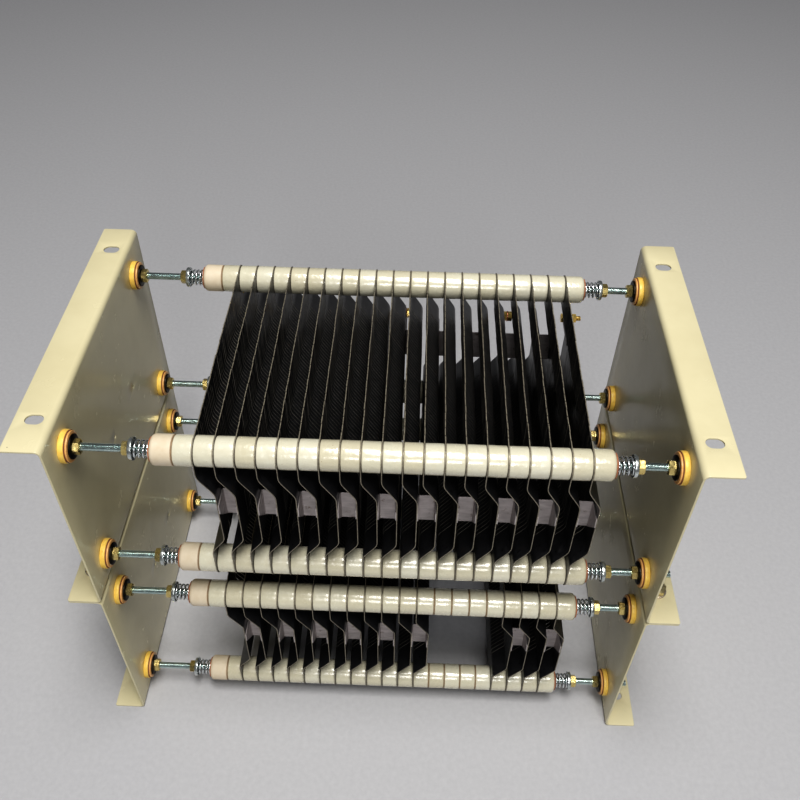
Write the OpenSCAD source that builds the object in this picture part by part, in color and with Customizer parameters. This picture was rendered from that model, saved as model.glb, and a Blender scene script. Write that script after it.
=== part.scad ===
// Two-tier grid resistor bank. X runs along the tie rods, Y from front to back, Z up.
// The origin is on the surface the bank stands on, under the middle of the frame.

/* [Frame] */
// Clear distance between the two end plates
frame_gap = 568; // [560:1:640]
// Depth of an end plate, front to back
plate_depth = 336; // [336:1:380]
// Height of one tier
tier_h = 237; // [237:1:260]
// Thickness of the end plate sheet
sheet_t = 2; // [1.5:0.5:2.5]
// Width of an outward flange, from the inner face of the end plate
flange_w = 36; // [36:1:45]
// Outside radius of the bend between an end plate and its flange
bend_r = 6; // [4:0.5:8]
// Width of a flange slot
slot_w = 12; // [11:0.5:13]
// End-to-end length of a flange slot
slot_len = 17; // [14:0.5:18]
// Distance of a slot's centre from the inner face of the end plate
slot_inset = 17.5; // [17:0.5:20]
// Diameter of the two small holes in each left end plate
label_hole_d = 4; // [3:0.5:5]
// Distance between the two small holes
label_hole_span = 78; // [60:1:90]
// How far behind the middle of the plate the pair of small holes stands
label_hole_back = 10; // [-20:1:30]
// Height of the small holes above the bottom of the tier
label_hole_z = 106; // [90:1:140]

/* [Tie rods] */
// Distance between the front and back rods
rod_span_y = 258; // [250:1:262]
// Distance between the lower and upper rods of a tier
rod_span_z = 168; // [160:1:172]
// Diameter of a rod
rod_d = 8; // [8:0.5:8.5]
// How far a rod reaches past the inner face of an end plate
rod_reach = 25; // [22:1:30]
// Width across the flats of a rod nut
rod_nut_af = 13; // [12:0.5:14]
// Height of a rod nut
rod_nut_h = 6.5; // [5:0.5:7]

/* [Bushes] */
// Diameter of the hole in an end plate that a bush sits in
bush_hole_d = 20; // [18:0.5:22]
// Diameter of a bush flange
bush_d = 32; // [28:0.5:34]
// Thickness of a bush flange
bush_t = 5.5; // [4:0.5:6]
// Thickness of the fibre gasket on a bush
gasket_t = 0.8; // [0.5:0.1:1]
// Thickness of the cap ring on a gasket
cap_t = 2; // [1:0.5:2.5]
// Thickness of the steel washer on a cap ring
bush_washer_t = 1.6; // [1:0.2:2]

/* [Stack] */
// Distance from one grid plate to the next
pitch = 19; // [18:0.5:20]
// Grid plates in the upper tier
upper_count = 20; // [20:1:20]
// X position of the first grid plate
first_plate_x = -162.5; // [-165:0.5:-160]
// Diameter of a bead
bead_d = 30; // [28:0.5:30]
// Bore of a bead
bead_bore_d = 10.6; // [10.6:0.1:12]
// Length of the bead at each end of a stack
end_bead_len = 20.5; // [19:0.5:22]
// Edge radius of a bead
bead_edge_r = 1; // [0.5:0.1:1.5]
// Edge radius of the outer end of an end bead
end_bead_r = 4; // [2:0.5:5]
// Outside diameter of the insulating tube on a rod
tube_d = 10; // [9.6:0.1:10]
// Thickness of the fibre washer at each end of a stack
fibre_t = 1; // [0.5:0.1:1.5]
// Compressed length of a stack spring
spring_len = 18; // [16:0.5:19]
// Outside diameter of a stack spring
spring_d = 18; // [15:0.5:18.5]
// Wire diameter of a stack spring
wire_d = 2; // [1.6:0.2:2.2]
// Turns of a stack spring
spring_turns = 4.5; // [3:0.5:6]
// Diameter of the dished seat between a spring and its nut
seat_d = 22; // [21:0.5:24]
// Height of the dished seat
seat_h = 4; // [3:0.5:5]

/* [Grid plates] */
// Thickness of a grid plate
grid_t = 1; // [0.8:0.1:1.2]
// Corner radius of a grid plate, centred on a rod
grid_edge_r = 15.5; // [15:0.5:16]
// Diameter of the eyelet hole round a rod
eyelet_d = 10.4; // [10.2:0.1:11]
// Sideways step of the middle of a grid plate
joggle = 14.5; // [12:0.5:16]
// Distance from the upper rod down to the upper joggle
upper_straight = 21.5; // [20:0.5:24]
// Height of the upper joggle
upper_slope = 23; // [20:0.5:24]
// Distance from the lower rod up to the lower joggle
lower_straight = 32; // [30:0.5:34]
// Height of the lower joggle
lower_slope = 20; // [18:0.5:22]
// Slits in a grid plate, alternately open at the top and at the bottom
slit_count = 21; // [11:2:23]
// Width of a slit
slit_w = 2; // [1.5:0.5:3]
// Solid strip left beyond the closed end of a slit
slit_bridge = 9; // [7:1:12]

/* [Jumpers and terminals] */
// Height of a jumper strap
jumper_h = 38; // [30:1:40]
// Thickness of a jumper strap
jumper_t = 1; // [0.8:0.1:1.5]
// Distance of a jumper's cross strip from the plate's edge
jumper_inset = 22.5; // [18:0.5:26]
// Height that a jumper's legs lose below, from the cross strip to the plate's edge
jumper_rise = 28; // [14:1:32]
// Thickness of a terminal lug
lug_t = 1.5; // [1:0.1:2]
// Width of a terminal lug
lug_w = 18; // [14:1:20]
// Distance of a terminal bolt behind the rods
lug_reach = 29; // [28:0.5:30]
// Height of a terminal bolt above the lower rod
lug_z = 103; // [95:1:105]
// Diameter of a terminal bolt
terminal_d = 6; // [5:0.5:6]
// Length of a terminal bolt under its head
terminal_len = 20; // [18:1:22]

/* [Tier bolts] */
// Diameter of the bolts that join the two tiers
tier_bolt_d = 10; // [8:1:10]
// Length of a tier bolt under its head
tier_bolt_len = 25; // [22:1:28]

/* [Hidden] */
$fn = 48;
BORE_GAP = 0.4;       // extra diameter of a hole round a rod or bolt
WASHER_GAP = 0.6;     // extra diameter of a washer's hole
SPIGOT_GAP = 0.1;     // clearance at the tip of each bush spigot
NECK_STEP = 1;        // how much slimmer a terminal bolt is under its nuts
EPS = 0.05;           // how far a cutter runs past a face
WIRE_SIDES = 5;       // sides of a spring's wire
RINGS_PER_TURN = 8;   // steps in a turn of a spring
GAP_AFTER = 12;       // lower tier: plates stand up to this position
GAP_BEFORE = 17;      // and again from this one
UPPER_TAPS = [1, 3, 8, 10, 16, 20];
LOWER_TAPS = [1, 5, 12, 17, 20];

half_gap = frame_gap / 2;
rod_y = rod_span_y / 2;
rod_z = rod_span_z / 2;
bead_len = pitch - grid_t;
last_plate_x = first_plate_x + (upper_count - 1) * pitch;
grid_half_y = rod_y + grid_edge_r;
grid_half_z = rod_z + grid_edge_r;
nut_circle = 1 / cos(30);  // corner circle of a hexagon, as a share of its flats

// Ends of the bead stack
left_bead_x = first_plate_x - grid_t / 2 - bead_len - grid_t;
stack_left = left_bead_x - end_bead_len;
right_bead_x = last_plate_x + grid_t / 2;
stack_right = right_bead_x + end_bead_len;

// Rim width and floor thickness of a spring seat
seat_rim = 1.5;
seat_base = 1.5;

// Hardware outside a bead stack, as distances from the stack's end
seat_at = fibre_t + spring_len - (seat_h - seat_base);
stack_nut_at = seat_at + seat_h;

// Hardware on a bush, as distances from the end plate's face
gasket_at = bush_t;
cap_at = gasket_at + gasket_t;
washer_at = cap_at + cap_t;
frame_nut_at = washer_at + bush_washer_t;

// Joggle levels, measured from the middle between the two rods
bend_1 = rod_z - upper_straight;
bend_2 = bend_1 - upper_slope;
bend_4 = -rod_z + lower_straight;
bend_3 = bend_4 + lower_slope;
jumper_z = (bend_2 + bend_3) / 2;

// Diameter of a fibre washer, a little wider than the flat end of a bead
fibre_d = bead_d - 2 * end_bead_r + 2;

// Hexagon bolts
terminal_af = 10;
terminal_head_h = 4;
terminal_nut_h = 5;
terminal_washer_d = 12.5;
terminal_washer_t = 1.2;
terminal_pair_t = terminal_washer_t + terminal_nut_h;
tier_af = 16;
tier_head_h = 6.4;
tier_nut_h = 8;
tier_washer_d = 20;
tier_washer_t = 2;

TIERS = ["lower", "upper"];
function tier_z(tier) = (tier == "upper" ? tier_h : 0) + tier_h / 2;
function plate_x(i) = first_plate_x + (i - 1) * pitch;
function joggled_x(i) = plate_x(i) + joggle;
function has_plate(tier, i) = tier == "upper" || i <= GAP_AFTER || i >= GAP_BEFORE;

// ---- Shapes used by several parts ----

// A ring along +X from x = 0
module ring_x(outer, inner, len) {
    rotate([0, 90, 0])
        difference() {
            cylinder(d = outer, h = len);
            translate([0, 0, -EPS])
                cylinder(d = inner, h = len + 2 * EPS);
        }
}

// A hexagon nut along +Z from z = 0, across the flats af
module hex_nut(af, bore, h) {
    difference() {
        cylinder(d = af * nut_circle, h = h, $fn = 6);
        translate([0, 0, -EPS])
            cylinder(d = bore, h = h + 2 * EPS);
    }
}

// A washer along +Z from z = 0
module washer(outer, bore, h) {
    difference() {
        cylinder(d = outer, h = h);
        translate([0, 0, -EPS])
            cylinder(d = bore, h = h + 2 * EPS);
    }
}

// The children at each of a tier's four rods
module at_rods(tier) {
    for (y = [-rod_y, rod_y])
        for (z = [-rod_z, rod_z])
            translate([0, y, tier_z(tier) + z])
                children();
}

// The children at each end of every rod, drawn as at a right-hand end and mirrored at the left
module at_rod_ends() {
    for (tier = TIERS)
        at_rods(tier)
            for (side = [0, 1])
                mirror([side, 0, 0])
                    children();
}

// The children on both faces of the sheet at each end of every rod, pointing away from it
module at_bush_faces() {
    at_rod_ends() {
        translate([half_gap + sheet_t, 0, 0])
            children();
        translate([half_gap, 0, 0])
            mirror([1, 0, 0])
                children();
    }
}

// The children at both ends of every bead stack, pointing away from it
module at_stack_ends() {
    for (tier = TIERS)
        at_rods(tier) {
            translate([stack_right, 0, 0])
                children();
            translate([stack_left, 0, 0])
                mirror([1, 0, 0])
                    children();
        }
}

// ---- End plates ----

// Outline with two round corners at x = 0
module soft_corner_shape(w, h, r) {
    translate([r, 0])
        square([w - r, h]);
    translate([0, r])
        square([w, h - 2 * r]);
    for (z = [r, h - r])
        translate([r, z])
            circle(r = r);
}

// A channel of bent sheet with its flanges towards +X and its inner face at x = 0
module channel() {
    translate([0, plate_depth / 2, 0])
        rotate([90, 0, 0])
            linear_extrude(height = plate_depth)
                difference() {
                    soft_corner_shape(flange_w, tier_h, bend_r);
                    translate([sheet_t, sheet_t])
                        soft_corner_shape(flange_w, tier_h - 2 * sheet_t, bend_r - sheet_t);
                }
}

// A slot through both flanges, long along X
module flange_slot() {
    straight = slot_len - slot_w;
    for (x = [-straight / 2, straight / 2])
        translate([x, 0, -EPS])
            cylinder(d = slot_w, h = tier_h + 2 * EPS);
    translate([-straight / 2, -slot_w / 2, -EPS])
        cube([straight, slot_w, tier_h + 2 * EPS]);
}

// One end plate of a tier, as on the right-hand side
module end_plate_body(with_label_holes) {
    difference() {
        channel();
        for (y = [-rod_y, rod_y]) {
            translate([slot_inset, y, 0])
                flange_slot();
            for (z = [-rod_z, rod_z])
                translate([-EPS, y, tier_h / 2 + z])
                    rotate([0, 90, 0])
                        cylinder(d = bush_hole_d, h = sheet_t + 2 * EPS);
        }
        if (with_label_holes)
            for (y = [-label_hole_span / 2, label_hole_span / 2])
                translate([-EPS, label_hole_back + y, label_hole_z])
                    rotate([0, 90, 0])
                        cylinder(d = label_hole_d, h = sheet_t + 2 * EPS);
    }
}

module end_plate(tier, side) {
    color([0.90, 0.87, 0.73])
        translate([0, 0, tier_z(tier) - tier_h / 2])
            mirror([side == "left" ? 1 : 0, 0, 0])
                translate([half_gap, 0, 0])
                    end_plate_body(side == "left");
}

module upper_end_plate_left() { end_plate("upper", "left"); }
module upper_end_plate_right() { end_plate("upper", "right"); }
module lower_end_plate_left() { end_plate("lower", "left"); }
module lower_end_plate_right() { end_plate("lower", "right"); }

// ---- Tie rods, tubes and bead stacks ----

// row is -1 at the front and 1 at the back, level is -1 at the bottom and 1 at the top
module tie_rod(tier, row, level) {
    color([0.62, 0.66, 0.68])
        translate([-half_gap - rod_reach, row * rod_y, tier_z(tier) + level * rod_z])
            rotate([0, 90, 0])
                cylinder(d = rod_d, h = frame_gap + 2 * rod_reach);
}

// Half section of a bead: radius along X, length along Y, one rounded corner at each end
module bead_section(len, near_r, far_r) {
    outer = bead_d / 2;
    bore = bead_bore_d / 2;
    difference() {
        translate([bore, 0])
            square([outer - bore, len]);
        translate([outer - near_r, -EPS])
            square([near_r + EPS, near_r + EPS]);
        translate([outer - far_r, len - far_r])
            square([far_r + EPS, far_r + EPS]);
    }
    translate([outer - near_r, near_r])
        circle(r = near_r);
    translate([outer - far_r, len - far_r])
        circle(r = far_r);
}

// A bead along +X from x = 0
module bead(len, near_r, far_r) {
    rotate([90, 0, 90])
        rotate_extrude()
            bead_section(len, near_r, far_r);
}

module bead_stack(tier, row, level) {
    color([0.93, 0.92, 0.86])
        translate([0, row * rod_y, tier_z(tier) + level * rod_z]) {
            translate([stack_left, 0, 0])
                bead(end_bead_len, end_bead_r, bead_edge_r);
            translate([left_bead_x + grid_t, 0, 0])
                bead(bead_len, bead_edge_r, bead_edge_r);
            for (i = [1:upper_count - 1])
                translate([plate_x(i) + grid_t / 2, 0, 0])
                    bead(bead_len, bead_edge_r, bead_edge_r);
            translate([right_bead_x, 0, 0])
                bead(end_bead_len, bead_edge_r, end_bead_r);
        }
}

module upper_rod_front_top() { tie_rod("upper", -1, 1); }
module upper_rod_front_bottom() { tie_rod("upper", -1, -1); }
module upper_rod_back_top() { tie_rod("upper", 1, 1); }
module upper_rod_back_bottom() { tie_rod("upper", 1, -1); }
module lower_rod_front_top() { tie_rod("lower", -1, 1); }
module lower_rod_front_bottom() { tie_rod("lower", -1, -1); }
module lower_rod_back_top() { tie_rod("lower", 1, 1); }
module lower_rod_back_bottom() { tie_rod("lower", 1, -1); }

module upper_beads_front_top() { bead_stack("upper", -1, 1); }
module upper_beads_front_bottom() { bead_stack("upper", -1, -1); }
module upper_beads_back_top() { bead_stack("upper", 1, 1); }
module upper_beads_back_bottom() { bead_stack("upper", 1, -1); }
module lower_beads_front_top() { bead_stack("lower", -1, 1); }
module lower_beads_front_bottom() { bead_stack("lower", -1, -1); }
module lower_beads_back_top() { bead_stack("lower", 1, 1); }
module lower_beads_back_bottom() { bead_stack("lower", 1, -1); }

module insulating_tubes() {
    color([0.55, 0.42, 0.28])
        for (tier = TIERS)
            at_rods(tier)
                translate([stack_left, 0, 0])
                    ring_x(tube_d, rod_d + BORE_GAP, stack_right - stack_left);
}

// Separators stand where two beads meet with no grid plate between them
module mica_separators() {
    color([0.60, 0.48, 0.34])
        for (tier = TIERS)
            at_rods(tier) {
                translate([left_bead_x, 0, 0])
                    ring_x(bead_d - 1, bead_bore_d, grid_t);
                for (i = [1:upper_count])
                    if (!has_plate(tier, i))
                        translate([plate_x(i) - grid_t / 2, 0, 0])
                            ring_x(bead_d - 1, bead_bore_d, grid_t);
            }
}

// ---- Grid plates ----

// Side view of a plate: X across the sheet, Y up, with the joggle in the middle
module joggle_profile() {
    right = [
        [0, -grid_half_z], [0, bend_4], [joggle, bend_3],
        [joggle, bend_2], [0, bend_1], [0, grid_half_z]
    ];
    left = [for (k = [len(right) - 1:-1:0]) right[k] - [grid_t, 0]];
    translate([grid_t / 2, 0])
        polygon(concat(right, left));
}

// Front view of a plate: X front to back, Y up, with eyelets and slits
module grid_outline() {
    slit_span = 2 * (grid_half_y - 2 * grid_edge_r);
    slit_step = slit_span / (slit_count - 1);
    difference() {
        union() {
            square([2 * rod_y, 2 * grid_half_z], center = true);
            square([2 * grid_half_y, 2 * rod_z], center = true);
            for (y = [-rod_y, rod_y], z = [-rod_z, rod_z])
                translate([y, z])
                    circle(r = grid_edge_r);
        }
        for (y = [-rod_y, rod_y], z = [-rod_z, rod_z])
            translate([y, z])
                circle(d = eyelet_d);
        for (k = [0:slit_count - 1]) {
            open_end = k % 2 == 0 ? EPS : -slit_bridge;
            closed_end = k % 2 == 0 ? -slit_bridge : EPS;
            translate([k * slit_step - slit_span / 2 - slit_w / 2, -grid_half_z - closed_end])
                square([slit_w, 2 * grid_half_z + open_end + closed_end]);
        }
    }
}

module grid_plate() {
    intersection() {
        translate([0, grid_half_y, 0])
            rotate([90, 0, 0])
                linear_extrude(height = 2 * grid_half_y)
                    joggle_profile();
        translate([-grid_t, 0, 0])
            rotate([90, 0, 90])
                linear_extrude(height = joggle + 2 * grid_t)
                    grid_outline();
    }
}

// Two neighbouring plates, the left one at position i
module grid_pair(tier, i) {
    color([0.10, 0.10, 0.11])
        for (k = [i, i + 1])
            translate([plate_x(k), 0, tier_z(tier)])
                grid_plate();
}

module upper_grid_01_02() { grid_pair("upper", 1); }
module upper_grid_03_04() { grid_pair("upper", 3); }
module upper_grid_05_06() { grid_pair("upper", 5); }
module upper_grid_07_08() { grid_pair("upper", 7); }
module upper_grid_09_10() { grid_pair("upper", 9); }
module upper_grid_11_12() { grid_pair("upper", 11); }
module upper_grid_13_14() { grid_pair("upper", 13); }
module upper_grid_15_16() { grid_pair("upper", 15); }
module upper_grid_17_18() { grid_pair("upper", 17); }
module upper_grid_19_20() { grid_pair("upper", 19); }
module lower_grid_01_02() { grid_pair("lower", 1); }
module lower_grid_03_04() { grid_pair("lower", 3); }
module lower_grid_05_06() { grid_pair("lower", 5); }
module lower_grid_07_08() { grid_pair("lower", 7); }
module lower_grid_09_10() { grid_pair("lower", 9); }
module lower_grid_11_12() { grid_pair("lower", 11); }
module lower_grid_17_18() { grid_pair("lower", 17); }
module lower_grid_19_20() { grid_pair("lower", 19); }

// ---- Jumpers ----

// A U of strip between the plates at i and i + 1, its legs on their facing sides and cut
// slanting below. row is -1 at the front edges and 1 at the back edges.
module jumper(tier, i, row) {
    gap = pitch - grid_t;
    depth = jumper_inset + jumper_t / 2;
    bottom = tier_z(tier) + jumper_z - jumper_h / 2;
    translate([joggled_x(i) + grid_t / 2, row * (grid_half_y - depth), bottom])
        mirror([0, row < 0 ? 1 : 0, 0])
            difference() {
                linear_extrude(height = jumper_h)
                    difference() {
                        square([gap, depth]);
                        translate([jumper_t, jumper_t])
                            square([gap - 2 * jumper_t, depth]);
                    }
                translate([-1, 0, 0])
                    rotate([90, 0, 90])
                        linear_extrude(height = gap + 2)
                            polygon([
                                [jumper_t, 0], [depth + 1, jumper_rise],
                                [depth + 1, -1], [jumper_t, -1],
                            ]);
            }
}

module jumper_row(tier, first, row) {
    color([0.60, 0.58, 0.56])
        for (i = [first:2:upper_count - 1])
            if (has_plate(tier, i) && has_plate(tier, i + 1))
                jumper(tier, i, row);
}

module upper_front_jumpers() { jumper_row("upper", 1, -1); }
module upper_back_jumpers() { jumper_row("upper", 2, 1); }
module lower_front_jumpers() { jumper_row("lower", 1, -1); }
module lower_back_jumpers() { jumper_row("lower", 2, 1); }

// ---- Hardware at the ends of a stack ----

module fibre_washers() {
    color([0.55, 0.25, 0.15])
        at_stack_ends()
            ring_x(fibre_d, rod_d + WASHER_GAP, fibre_t);
}

// Points round the wire at ring k of a helix along +X that starts at x = 0
function spring_ring(k, rings) =
    let (turn = k / (rings - 1) * spring_turns * 360,
         across = (spring_d - wire_d) / 2,
         at = wire_d / 2 + k / (rings - 1) * (spring_len - wire_d))
    [for (s = [0:WIRE_SIDES - 1])
        let (side = s * 360 / WIRE_SIDES, r = across + wire_d / 2 * cos(side))
        [at + wire_d / 2 * sin(side), r * cos(turn), r * sin(turn)]];

module spring_coil() {
    rings = round(spring_turns * RINGS_PER_TURN) + 1;
    n = WIRE_SIDES;
    points = [for (k = [0:rings - 1]) each spring_ring(k, rings)];
    side_faces = [for (k = [0:rings - 2], s = [0:n - 1])
        [k * n + s, k * n + (s + 1) % n, (k + 1) * n + (s + 1) % n, (k + 1) * n + s]];
    end_faces = [[for (s = [n - 1:-1:0]) s], [for (s = [0:n - 1]) (rings - 1) * n + s]];
    polyhedron(points = points, faces = concat(side_faces, end_faces), convexity = 6);
}

module springs() {
    color([0.72, 0.74, 0.76])
        at_stack_ends()
            translate([fibre_t, 0, 0])
                spring_coil();
}

// A dished washer that centres the spring, open towards it
module spring_seats() {
    color([0.66, 0.68, 0.70])
        at_stack_ends()
            translate([seat_at, 0, 0])
                difference() {
                    ring_x(seat_d, rod_d + WASHER_GAP, seat_h);
                    translate([-EPS, 0, 0])
                        rotate([0, 90, 0])
                            cylinder(d = seat_d - 2 * seat_rim, h = seat_h - seat_base + EPS);
                }
}

module stack_nuts() {
    color([0.72, 0.66, 0.36])
        at_stack_ends()
            translate([stack_nut_at, 0, 0])
                rotate([0, 90, 0])
                    hex_nut(rod_nut_af, rod_d + BORE_GAP, rod_nut_h);
}

// ---- Hardware at the end plates ----

module bushes() {
    spigot_d = bush_hole_d - BORE_GAP;
    spigot_len = sheet_t / 2 - SPIGOT_GAP;
    color([0.88, 0.66, 0.20])
        at_bush_faces()
            difference() {
                rotate([0, 90, 0]) {
                    cylinder(d = bush_d, h = bush_t);
                    translate([0, 0, -spigot_len])
                        cylinder(d = spigot_d, h = spigot_len + EPS);
                }
                translate([-spigot_len - EPS, 0, 0])
                    rotate([0, 90, 0])
                        cylinder(d = rod_d + WASHER_GAP, h = spigot_len + bush_t + 2 * EPS);
            }
}

module bush_gaskets() {
    color([0.50, 0.20, 0.12])
        at_bush_faces()
            translate([gasket_at, 0, 0])
                ring_x(bush_d - 1, rod_d + WASHER_GAP, gasket_t);
}

module bush_caps() {
    color([0.92, 0.76, 0.42])
        at_bush_faces()
            translate([cap_at, 0, 0])
                ring_x(bush_d - 2, rod_d + WASHER_GAP, cap_t);
}

module bush_washers() {
    color([0.20, 0.19, 0.16])
        at_bush_faces()
            translate([washer_at, 0, 0])
                ring_x(bush_d - 8, rod_d + WASHER_GAP, bush_washer_t);
}

module frame_nuts() {
    color([0.72, 0.66, 0.36])
        at_bush_faces()
            translate([frame_nut_at, 0, 0])
                rotate([0, 90, 0])
                    hex_nut(rod_nut_af, rod_d + BORE_GAP, rod_nut_h);
}

// ---- Terminals ----

// The children at every terminal of a tier, with x = 0 on the lug's left face
module at_terminals() {
    for (tier = TIERS)
        for (i = tier == "upper" ? UPPER_TAPS : LOWER_TAPS)
            translate([joggled_x(i), rod_y + lug_reach, tier_z(tier) - rod_z + lug_z])
                terminal_side(i)
                    children();
}

// A lug lies on the side of its plate that carries no jumper:
// the left side on even plates and the right side on odd ones
module terminal_side(i) {
    translate([i % 2 == 0 ? -grid_t / 2 - lug_t : grid_t / 2, 0, 0])
        children();
}

module terminal_lugs() {
    foot = lug_reach + grid_edge_r - 4;
    color([0.55, 0.53, 0.50])
        at_terminals()
            rotate([90, 0, 90])
                linear_extrude(height = lug_t)
                    difference() {
                        union() {
                            circle(d = lug_w);
                            translate([-foot, -lug_w / 2])
                                square([foot, lug_w]);
                        }
                        circle(d = terminal_d + BORE_GAP);
                    }
}

// The first washer and nut hold the bolt to its lug, and the second pair holds the cable.
// The shank is a little slimmer where the lug, washers and nuts cover it
module terminal_bolts() {
    stud_at = lug_t + 2 * terminal_pair_t;
    color([0.80, 0.62, 0.25])
        at_terminals()
            rotate([0, 90, 0]) {
                translate([0, 0, -terminal_head_h])
                    cylinder(d = terminal_af * nut_circle, h = terminal_head_h, $fn = 6);
                cylinder(d = terminal_d - NECK_STEP, h = stud_at + EPS);
                translate([0, 0, stud_at])
                    cylinder(d = terminal_d, h = terminal_len - stud_at);
            }
}

module terminal_washers() {
    color([0.72, 0.42, 0.26])
        at_terminals()
            for (at = [lug_t, lug_t + terminal_pair_t])
                translate([at, 0, 0])
                    ring_x(terminal_washer_d, terminal_d + BORE_GAP, terminal_washer_t);
}

module terminal_nuts() {
    color([0.80, 0.62, 0.25])
        at_terminals()
            for (at = [lug_t, lug_t + terminal_pair_t])
                translate([at + terminal_washer_t, 0, 0])
                    rotate([0, 90, 0])
                        hex_nut(terminal_af, terminal_d + BORE_GAP, terminal_nut_h);
}

// ---- Bolts between the tiers ----

// The children at each joined slot, with z = 0 on the face between the two flanges
module at_tier_joints() {
    for (x = [-half_gap - slot_inset, half_gap + slot_inset], y = [-rod_y, rod_y])
        translate([x, y, tier_h])
            children();
}

module tier_washers() {
    color([0.66, 0.66, 0.62])
        at_tier_joints() {
            translate([0, 0, sheet_t])
                washer(tier_washer_d, tier_bolt_d + WASHER_GAP, tier_washer_t);
            translate([0, 0, -sheet_t - tier_washer_t])
                washer(tier_washer_d, tier_bolt_d + WASHER_GAP, tier_washer_t);
        }
}

module tier_bolts() {
    head_z = sheet_t + tier_washer_t;
    color([0.68, 0.64, 0.45])
        at_tier_joints() {
            translate([0, 0, head_z])
                cylinder(d = tier_af * nut_circle, h = tier_head_h, $fn = 6);
            translate([0, 0, head_z - tier_bolt_len])
                cylinder(d = tier_bolt_d, h = tier_bolt_len + EPS);
        }
}

module tier_nuts() {
    color([0.68, 0.64, 0.45])
        at_tier_joints()
            translate([0, 0, -sheet_t - tier_washer_t - tier_nut_h])
                hex_nut(tier_af, tier_bolt_d + BORE_GAP, tier_nut_h);
}

upper_end_plate_left();
upper_end_plate_right();
lower_end_plate_left();
lower_end_plate_right();
upper_rod_front_top();
upper_rod_front_bottom();
upper_rod_back_top();
upper_rod_back_bottom();
lower_rod_front_top();
lower_rod_front_bottom();
lower_rod_back_top();
lower_rod_back_bottom();
upper_beads_front_top();
upper_beads_front_bottom();
upper_beads_back_top();
upper_beads_back_bottom();
lower_beads_front_top();
lower_beads_front_bottom();
lower_beads_back_top();
lower_beads_back_bottom();
upper_grid_01_02();
upper_grid_03_04();
upper_grid_05_06();
upper_grid_07_08();
upper_grid_09_10();
upper_grid_11_12();
upper_grid_13_14();
upper_grid_15_16();
upper_grid_17_18();
upper_grid_19_20();
lower_grid_01_02();
lower_grid_03_04();
lower_grid_05_06();
lower_grid_07_08();
lower_grid_09_10();
lower_grid_11_12();
lower_grid_17_18();
lower_grid_19_20();
upper_front_jumpers();
upper_back_jumpers();
lower_front_jumpers();
lower_back_jumpers();
insulating_tubes();
bushes();
bush_gaskets();
bush_caps();
bush_washers();
frame_nuts();
stack_nuts();
spring_seats();
springs();
fibre_washers();
mica_separators();
terminal_lugs();
terminal_bolts();
terminal_washers();
terminal_nuts();
tier_bolts();
tier_washers();
tier_nuts();
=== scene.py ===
"""Looks of a two-tier grid resistor bank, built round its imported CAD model."""

import functools
import math
import random

import bmesh
import bpy
import numpy as np
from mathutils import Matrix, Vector, noise
from mathutils.geometry import delaunay_2d_cdt


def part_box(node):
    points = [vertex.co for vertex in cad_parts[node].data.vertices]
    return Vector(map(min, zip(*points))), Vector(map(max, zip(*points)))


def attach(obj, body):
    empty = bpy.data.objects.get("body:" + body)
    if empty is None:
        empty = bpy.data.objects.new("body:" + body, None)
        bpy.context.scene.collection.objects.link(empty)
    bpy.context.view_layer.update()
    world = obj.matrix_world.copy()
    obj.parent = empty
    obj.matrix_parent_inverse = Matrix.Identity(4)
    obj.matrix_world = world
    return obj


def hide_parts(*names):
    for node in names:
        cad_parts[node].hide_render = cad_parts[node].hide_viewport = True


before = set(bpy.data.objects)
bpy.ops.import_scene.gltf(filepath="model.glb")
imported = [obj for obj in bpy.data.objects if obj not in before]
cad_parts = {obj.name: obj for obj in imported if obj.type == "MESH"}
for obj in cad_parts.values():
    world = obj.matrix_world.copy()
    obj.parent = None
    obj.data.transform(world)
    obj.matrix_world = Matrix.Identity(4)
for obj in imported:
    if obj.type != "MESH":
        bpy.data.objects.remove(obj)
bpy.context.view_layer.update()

MM = 0.001
TIERS = ("lower", "upper")
ROWS = ("front", "back")
LEVELS = ("top", "bottom")
SIDES = ("left", "right")

# ---- Dimensions that the frame's boxes don't give ----

SHEET = 2 * MM             # end plate
BEND_R = 6 * MM            # outside radius of an end plate's bends
BUSH_HOLE_R = 10 * MM
SLOT_INSET = 17.5 * MM     # slot centre, from the end plate's inner face
SLOT_LEN = 17 * MM
SLOT_W = 12 * MM
LABEL_HOLE_R = 2 * MM
LABEL_HOLE_SPAN = 78 * MM
LABEL_HOLE_BACK = 10 * MM
LABEL_HOLE_Z = 106 * MM    # above the bottom of a tier

GRID_T = 1 * MM
GRID_PITCH = 19 * MM
JOGGLE = 14.5 * MM
CORNER_R = 15.5 * MM       # a grid plate's corners, centred on the rods
EYELET_R = 5.2 * MM
UPPER_STRAIGHT = 21.5 * MM
UPPER_SLOPE = 23 * MM
LOWER_STRAIGHT = 32 * MM
LOWER_SLOPE = 20 * MM
SLITS = 47
SLIT_W = 0.9 * MM
SLIT_BRIDGE = 9 * MM
JUMPER_RISE = 28 * MM      # height that a jumper's legs lose below, out to the plate's edge
BEND_SOFT = {"lower": 2.5 * MM, "upper": 4.5 * MM}  # how far a plate's bends reach above and below

ROD_R = 3.95 * MM
ROD_HOLE_R = ROD_R + 0.3 * MM  # bore of what slides on a rod
THREAD_PITCH = 1.25 * MM
ROD_NUT_FLATS = 13 * MM
BEAD_BORE_R = 5.3 * MM
BEAD_EDGE_R = 1.2 * MM
END_BEAD_R = 4 * MM        # free edge of the first and the last bead of a rod
BEAD_DIRT = 0.8 * MM       # how far dirt reaches in from a bead's edge

NUT_RIM = 0.95             # face of a nut or a head, as a share of its flats
NUT_SLOPE = 0.5            # fall of its turned-off corners

TERMINAL_R = 2.95 * MM     # terminal bolts
TERMINAL_PITCH = 1 * MM
TERMINAL_FLATS = 10 * MM
TIER_BOLT_R = 4.95 * MM
TIER_BOLT_PITCH = 1.5 * MM
TIER_BOLT_FLATS = 16 * MM


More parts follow.
